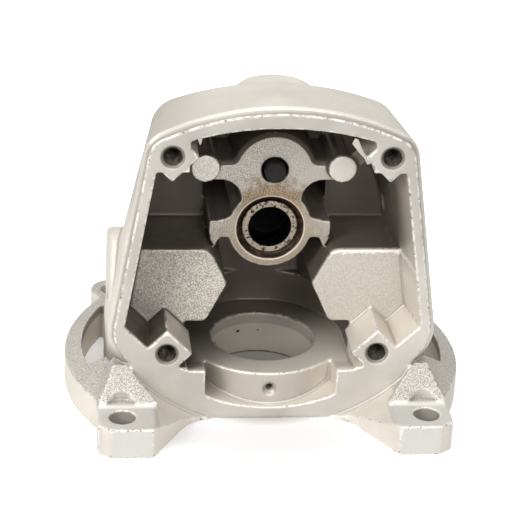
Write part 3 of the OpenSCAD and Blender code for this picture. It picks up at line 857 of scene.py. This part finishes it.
@dataclass
class Casting:
    """The housing itself: a copy of the solid with its edges rounded as cast."""

    voxel: float = 0.42
    rounds: int = 2
    most_triangles: int = 190000
    chamfer: tuple[float, float, float] = (3.45, 2.3, 1.0)
    oil_funnel: tuple[float, float, float] = (2.3, 0.9, 1.2)
    spot_r: float = 4.4
    spot_y: float = -35.6
    spot_height: float = 12.0
    shell_lean: float = 0.164
    half_width: float = 45.3
    widest: float = 26.0
    face_wall: float = 2.2
    wall_lean: float = 0.1
    roof: float = 91.2
    roof_fall: float = 0.2
    roof_radius: float = 88.0
    bell_wall: float = 2.4
    bell_r: float = 49.0
    middle: float = 24.0

    def build(self) -> bpy.types.Material:
        """Makes the casting, which replaces its CAD node.

        Returns:
            Its material.
        """
        node = frame["nodes"]["gearbox_housing"]
        casting = node.copy()
        casting.data = node.data.copy()
        casting.parent = None
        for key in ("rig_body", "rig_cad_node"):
            del casting[key]
        bpy.context.scene.collection.objects.link(casting)
        edit_whole(casting, lambda: bpy.ops.mesh.remove_doubles(threshold=0.002 * MM))
        self.cut_details(casting)
        finish_with(casting, "REMESH", mode="VOXEL", voxel_size=self.voxel * MM, adaptivity=0.0)
        finish_with(casting, "SMOOTH", factor=0.5, iterations=self.rounds)
        share = self.most_triangles / (2 * len(casting.data.polygons))
        if share < 1:
            finish_with(casting, "DECIMATE", ratio=share)
        make_active(casting)
        bpy.ops.object.shade_smooth()
        material = CastFinish().build()
        coat(casting.data, material)
        self.mark(casting.data)
        enrol(casting, "casting")
        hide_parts("gearbox_housing")
        return material

    def cut_details(self, casting: bpy.types.Object) -> None:
        """Cuts the chamfers of the holes and adds the gussets of the front lugs.

        Args:
            casting: the casting, before its edges are rounded.
        """
        cutters = [self.cone((sx * SCREW_HALF, FACE_Y, MOTOR_H + sz * SCREW_HALF), *self.chamfer)
                   for sx in (-1, 1) for sz in (-1, 1)]
        cutters.append(self.cone((0.0, -COLLAR_R, OIL_HOLE_H), *self.oil_funnel))
        for cutter in cutters:
            cut_away(casting, cutter)
        for sx in (-1, 1):
            self.gusset(casting, sx)

    def gusset(self, casting: bpy.types.Object, sx: int) -> None:
        """Adds the sloping gusset over a front lug, with its round screw seat.

        Args:
            casting: the casting, which takes the gusset in when its edges are rounded.
            sx: -1 for the left one, 1 for the right one.
        """
        deselect_all()
        bpy.ops.mesh.primitive_cube_add(size=1.0, location=(0, 0, 0))
        wedge = bpy.context.object
        for corner in wedge.data.vertices:
            rear, outer, top = corner.co.y > 0, corner.co.x < 0, corner.co.z > 0
            corner.co = Vector(self.gusset_corner(rear, outer, top)) * MM
        if sx > 0:
            make_active(wedge)
            bpy.ops.transform.resize(value=(-1, 1, 1), center_override=(0, 0, 0))
            apply_place()
            edit_whole(wedge, face_outwards)
        cut_away(wedge, self.spot_face((sx * LUG_X, self.spot_y, RING_H + 0.6)))
        make_active(casting)
        wedge.select_set(True)
        bpy.ops.object.join()

    @staticmethod
    def gusset_corner(rear: bool, outer: bool, top: bool) -> Point:
        """Gives a corner of the left gusset in millimetres.

        Args:
            rear: whether it lies at the motor face.
            outer: whether it lies on the outer side.
            top: whether it lies on the slope.

        Returns:
            The corner.
        """
        if rear:
            across = (-44.8 if outer else -40.9) if top else (-48.2 if outer else -36.0)
            return (across, -24.6, 17.4 if top else 8.0)
        return (-49.2 if outer else -32.6, -34.2, 10.2 if top else 8.0)

    @staticmethod
    def cone(place: Point, mouth_r: float, end_r: float, depth: float) -> bpy.types.Object:
        """Makes the cutter of a chamfer that opens to the front.

        Args:
            place: middle of its mouth.
            mouth_r: its radius there.
            end_r: its radius at the end.
            depth: how deep it goes.

        Returns:
            The cutter, which starts a little before its mouth.
        """
        deselect_all()
        lead = 0.5
        wide = mouth_r + (mouth_r - end_r) * lead / depth
        middle = (place[0], place[1] + (depth - lead) / 2, place[2])
        bpy.ops.mesh.primitive_cone_add(
            vertices=48, radius1=wide * MM, radius2=end_r * MM, depth=(depth + lead) * MM,
            location=Vector(middle) * MM, rotation=(-math.pi / 2, 0, 0))
        return bpy.context.object

    def spot_face(self, place: Point) -> bpy.types.Object:
        """Makes the cutter of the round seat of a screw head.

        Args:
            place: middle of the seat.

        Returns:
            The cutter.
        """
        deselect_all()
        middle = (place[0], place[1], place[2] + 0.02 + self.spot_height / 2)
        bpy.ops.mesh.primitive_cylinder_add(
            vertices=64, radius=self.spot_r * MM, depth=self.spot_height * MM,
            location=Vector(middle) * MM)
        return bpy.context.object

    def mark(self, mesh: bpy.types.Mesh) -> None:
        """Stores the two numbers of each point that the material reads.

        Args:
            mesh: the casting's mesh.
        """
        place = self.read(mesh, "co") / MM
        normal = self.read(mesh, "normal")
        for name, value in (("inside", self.inside(place, normal)),
                            ("bend", self.bend(mesh, place, normal))):
            mesh.attributes.new(name, "FLOAT", "POINT").data.foreach_set("value", value)

    @staticmethod
    def read(mesh: bpy.types.Mesh, name: str) -> np.ndarray:
        """Reads one vector of each point of a mesh.

        Args:
            mesh: the mesh.
            name: what is read, such as the place or the normal.

        Returns:
            One row for each point.
        """
        found = np.zeros(len(mesh.vertices) * 3)
        mesh.vertices.foreach_get(name, found)
        return found.reshape(-1, 3)

    @staticmethod
    def bend(mesh: bpy.types.Mesh, place: np.ndarray, normal: np.ndarray) -> np.ndarray:
        """Measures how sharply the surface turns at each point.

        Args:
            mesh: the mesh.
            place: its points in millimetres.
            normal: the way that the surface faces at each of them.

        Returns:
            The mean curvature: above 0 on outer edges, below 0 in corners.
        """
        count = len(place)
        ends = np.zeros(len(mesh.edges) * 2, dtype=np.int32)
        mesh.edges.foreach_get("vertices", ends)
        a, b = ends.reshape(-1, 2).T
        step = place[b] - place[a]
        turn = ((normal[b] - normal[a]) * step).sum(1) / np.maximum((step ** 2).sum(1), 0.01)
        share = np.maximum(np.bincount(a, minlength=count) + np.bincount(b, minlength=count), 1)
        found = (np.bincount(a, turn, count) + np.bincount(b, turn, count)) / share
        for _ in range(2):
            near = np.bincount(a, found[b], count) + np.bincount(b, found[a], count)
            found = 0.5 * found + 0.5 * near / share
        return found.astype(np.float32)

    def inside(self, place: np.ndarray, normal: np.ndarray) -> np.ndarray:
        """Says which points lie on the inner surfaces.

        Args:
            place: the points in millimetres.
            normal: the way that the surface faces at each of them.

        Returns:
            1 for each inner point and 0 for each outer one.
        """
        x, y, z = place.T
        deep = y - FACE_Y
        side = self.half_width - (z - self.widest) * self.shell_lean
        roof = self.roof - self.roof_fall * deep - x ** 2 / (2 * self.roof_radius)
        within = (np.abs(x) < side - self.face_wall - self.wall_lean * deep) & (z < roof)
        within &= (deep > 0.3) & (y < REAR_Y + 1)
        within &= (z > FLOOR_H - 0.3) | ((deep > 0.4) & (y < 0) & (z > 2))
        # Behind the shoulders the shell is a round bell
        within &= np.hypot(x, z - 50) < self.bell_r
        within &= np.hypot(x, np.maximum(y, 0.0)) < side - self.bell_wall
        within &= (np.abs(x) < self.middle) | (y < POCKET_Y + 1) | (z < 40)
        outward = (normal * (place - (0, 0, self.widest))).sum(1) > 0
        within &= ~(outward & (y > 4) & (z > 55) & (np.hypot(x, y) > 20))
        return within.astype(np.float32)


# --- Threads ---


@dataclass
class ThreadedHole:
    """The thread inside a tapped hole, made as one ridge that winds into the metal."""

    name: str
    mouth: Point
    into: Point
    wall_r: float
    pitch: float
    turns: int
    ridge: float = 0.42
    sunk: float = 0.1

    def build(self, material: bpy.types.Material) -> None:
        """Makes the thread.

        Args:
            material: its material.
        """
        deselect_all()
        # An upright triangle with its tip towards the axis
        bpy.ops.mesh.primitive_circle_add(
            vertices=3, radius=self.ridge * MM * 1.15, fill_type="NOTHING",
            location=((self.wall_r - self.sunk) * MM, 0, 0),
            rotation=(math.pi / 2, math.pi / 2, math.pi))
        ridge = bpy.context.object
        apply_place()
        finish_with(ridge, "SCREW", axis="Z", angle=2 * math.pi, iterations=self.turns,
                    screw_offset=self.pitch * MM, steps=28, render_steps=28,
                    use_smooth_shade=True, use_normal_calculate=True)
        edit_whole(ridge, lambda: bpy.ops.mesh.fill_holes(sides=4), face_outwards)
        turn = Vector((0, 0, 1)).rotation_difference(Vector(self.into)).to_matrix().to_4x4()
        ridge.matrix_world = Matrix.Translation(Vector(self.mouth) * MM) @ turn
        settle(ridge, self.name, material)


@dataclass
class TappedHoles:
    """The threads of the four motor holes and the two handle bosses."""

    motor_pitch: float = 1.0
    motor_turns: int = 10
    handle_pitch: float = 1.5
    handle_turns: int = 7
    handle_ridge: float = 0.6
    start: float = 0.9
    # The thread's steel is oily, and painted near black as the shade inside the holes
    finish: SteelFinish = SteelFinish("tapped thread", (0.045, 0.039, 0.033),
                                      (0.012, 0.010, 0.009), 0.47, 0.5)

    def build(self) -> None:
        """Makes each thread."""
        material = self.finish.build()
        for sz, height in ((-1, "low"), (1, "high")):
            for sx, side in ((-1, "left"), (1, "right")):
                mouth = (sx * SCREW_HALF, FACE_Y + self.start, MOTOR_H + sz * SCREW_HALF)
                ThreadedHole(f"motor_thread_{height}_{side}", mouth, (0, 1, 0), SCREW_R,
                             self.motor_pitch, self.motor_turns).build(material)
        for sx, side in ((-1, "left"), (1, "right")):
            mouth = (sx * (HANDLE_X - self.start), 0.0, HANDLE_H)
            ThreadedHole(f"handle_thread_{side}", mouth, (-sx, 0, 0), HANDLE_R,
                         self.handle_pitch, self.handle_turns, self.handle_ridge).build(material)


# --- Flash ---


@dataclass
class Flash:
    """A thin sliver of metal left at a seam of the mould."""

    name: str
    outline: tuple[tuple[float, float], ...]
    front: float
    thick: float = 0.5
    edge: float = 0.08

    def build(self, material: bpy.types.Material) -> None:
        """Makes the sliver from its outline.

        Args:
            material: the cast metal.
        """
        deselect_all()
        bpy.ops.mesh.primitive_circle_add(vertices=len(self.outline), radius=MM,
                                          fill_type="NGON")
        sliver = bpy.context.object
        for corner, (x, z) in zip(sliver.data.vertices, self.outline):
            corner.co = (x * MM, self.front * MM, z * MM)
        finish_with(sliver, "SOLIDIFY", thickness=self.thick * MM, offset=0.0)
        finish_with(sliver, "BEVEL", width=self.edge * MM, segments=2)
        edit_whole(sliver, face_outwards)
        settle(sliver, self.name, material)


SLIVERS = (
    Flash("flash_left", ((-23.6, 86.3), (-21.9, 86.7), (-22.2, 84.6), (-22.6, 83.7),
                         (-23.1, 84.9)), FACE_Y + 0.6),
    Flash("flash_right", ((18.4, 84.4), (19.1, 86.0), (20.1, 85.6), (21.2, 83.0), (22.6, 80.4),
                          (21.9, 80.3), (20.4, 81.9)), FACE_Y + 0.7),
    Flash("flash_web", ((21.6, 81.0), (22.8, 80.9), (24.4, 78.6), (23.0, 78.2)),
          FACE_Y + 1.2))


# --- Camera, light and floor ---


@dataclass(frozen=True)
class Lamp:
    """A soft square lamp that looks at the housing, placed and measured in metres."""

    name: str
    place: Point
    side: float
    watts: float
    colour: Colour = (1.0, 1.0, 1.0)
    aim: Point = (0.0, 0.0, 0.045)

    def build(self) -> None:
        """Hangs the lamp."""
        data = bpy.data.lights.new(self.name, "AREA")
        data.size = self.side
        data.energy = self.watts
        data.color = self.colour
        lamp = bpy.data.objects.new(self.name, data)
        bpy.context.scene.collection.objects.link(lamp)
        look = (Vector(self.aim) - Vector(self.place)).to_track_quat("-Z", "Y")
        lamp.matrix_world = Matrix.Translation(self.place) @ look.to_matrix().to_4x4()


@dataclass
class Studio:
    """The camera at the photograph's place, a pale floor and soft light."""

    eye: Point = (-63.8, -487.3, 268.7)
    aim: Point = (-3.8, -25.5, 48.9)
    roll_deg: float = 3.11
    focal_px: float = 1869.9
    picture_px: float = 528.0
    sensor: float = 36.0
    all_round: float = 0.32
    lamps: tuple[Lamp, ...] = (
        Lamp("key", (-0.80, -0.65, 0.62), 0.45, 7.5, (1.0, 0.99, 0.975)),
        Lamp("front", (0.10, -0.88, 0.58), 0.5, 4.7),
        Lamp("top", (0.0, 0.10, 1.10), 0.8, 4.6))
    floor_m: float = 12.0
    floor_drop_m: float = 0.00005
    pale: Colour = (0.93, 0.93, 0.93)
    # The painted shadow under the bore, and where it fades
    bore_shadow: Colour = (0.25, 0.225, 0.195)
    bore_shadow_mm: tuple[float, float] = (22.0, 30.0)
    glow_mm: tuple[float, float] = (45.0, 85.0)
    glow: tuple[float, float] = (0.06, 0.85)

    def build(self) -> None:
        """Sets up the camera, the light and the floor."""
        self.camera()
        self.world()
        for lamp in self.lamps:
            lamp.build()
        self.floor()
        bpy.context.scene.view_settings.view_transform = "Standard"

    def camera(self) -> None:
        """Puts the camera where the photograph was taken from."""
        data = bpy.data.cameras.new("camera")
        data.sensor_width = self.sensor
        data.lens = self.sensor * self.focal_px / self.picture_px
        data.clip_start = 0.02
        data.clip_end = 20.0
        camera = bpy.data.objects.new("camera", data)
        bpy.context.scene.collection.objects.link(camera)
        forward = (Vector(self.aim) - Vector(self.eye)).normalized()
        turn = forward.to_track_quat("-Z", "Y").to_matrix()
        turn = turn @ Matrix.Rotation(math.radians(self.roll_deg), 3, "Z")
        camera.matrix_world = Matrix.Translation(Vector(self.eye) * MM) @ turn.to_4x4()
        bpy.context.scene.camera = camera

    def world(self) -> None:
        """Lights the scene all round, and shows white to the camera and in reflections."""
        world = bpy.data.worlds.new("studio")
        bpy.context.scene.world = world
        sheet = ShaderSheet(world)
        rays = sheet.node("ShaderNodeLightPath").outputs
        shown = sheet.either(rays["Is Camera Ray"], rays["Is Transmission Ray"],
                             rays["Is Glossy Ray"])
        back = sheet.node("ShaderNodeBackground")
        sheet.feed(back.inputs["Strength"], sheet.between(shown, self.all_round, 1.0))
        sheet.close(back, "ShaderNodeOutputWorld")

    def floor(self) -> None:
        """Lays the pale floor, which keeps the housing's shadow and has a painted shadow under
        the bore.
        """
        deselect_all()
        bpy.ops.mesh.primitive_plane_add(size=self.floor_m, location=(0, 0, -self.floor_drop_m))
        floor = bpy.context.object
        floor.name = "floor"
        sheet = ShaderSheet(bpy.data.materials.new("floor"))
        reach = sheet.distance(ORIGIN)
        matt = sheet.node("ShaderNodeBsdfDiffuse")
        # Painted shadow on the floor under the bore
        out_of_shadow = sheet.ramp(reach, *self.bore_shadow_mm, kind="LINEAR")
        sheet.feed(matt.inputs["Color"], sheet.mix(out_of_shadow, self.bore_shadow, self.pale))
        glow = sheet.node("ShaderNodeEmission")
        lift = sheet.both(sheet.node("ShaderNodeLightPath").outputs["Is Camera Ray"],
                          sheet.ramp(reach, *self.glow_mm, *self.glow, kind="LINEAR"))
        sheet.feed(glow.inputs["Strength"], lift)
        joined = sheet.node("ShaderNodeAddShader")
        sheet.feed(joined.inputs[0], matt.outputs[0])
        sheet.feed(joined.inputs[1], glow.outputs[0])
        sheet.close(joined)
        floor.data.materials.append(sheet.owner)


# --- The needle bearing ---


@dataclass
class NeedleBearing:
    """The drawn cup with its cage, its needles and the pin above, as their CAD meshes."""

    count: int = 18
    edge: float = 0.12
    # The cup: stained, and painted black as shade behind its front
    cup: SteelFinish = SteelFinish("stained cup", (0.36, 0.31, 0.25), (0.05, 0.026, 0.014), 0.535,
                                   0.42, TOWER_Y + 1.1, 0.05, 1250.0)
    # The cage and the needles are painted near black: oil, and painted shade inside the bearing
    cage: SteelFinish = SteelFinish("oily cage in painted shade", (0.012, 0.010, 0.009), BLACK, 0.47, 0.4)
    needle: SteelFinish = SteelFinish("oily needle in painted shade", (0.030, 0.028, 0.026),
                                      (0.010, 0.008, 0.007), 0.47, 0.16)

    def build(self) -> None:
        """Dresses each piece of the bearing."""
        cup = self.dress("bearing_cup", self.cup.build())
        weld = cup.modifiers.new("weld", "WELD")
        weld.merge_threshold = 0.001 * MM
        bevel = cup.modifiers.new("rounded edges", "BEVEL")
        bevel.width = self.edge * MM
        bevel.segments = 2
        bevel.limit_method = "ANGLE"
        bevel.angle_limit = math.radians(35)
        self.dress("needle_cage", self.cage.build())
        self.dress("rubber_pin", RubberFinish().build())
        steel = self.needle.build()
        for i in range(1, self.count + 1):
            self.dress(f"needle_{i:02d}", steel)
        LOG.info("bearing: cup, cage, pin and %d needles", self.count)

    @staticmethod
    def dress(name: str, material: bpy.types.Material) -> bpy.types.Object:
        """Puts one material on a CAD node.

        Args:
            name: the node's name.
            material: its material.

        Returns:
            The node.
        """
        node = frame["nodes"][name]
        coat(node.data, material)
        return node


def main() -> None:
    """Builds the pieces in order."""
    logging.basicConfig(level=logging.INFO, format="%(name)s: %(message)s")
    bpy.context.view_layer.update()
    Studio().build()
    metal = Casting().build()
    for sliver in SLIVERS:
        sliver.build(metal)
    NeedleBearing().build()
    TappedHoles().build()


if __name__ == "__main__":
    main()
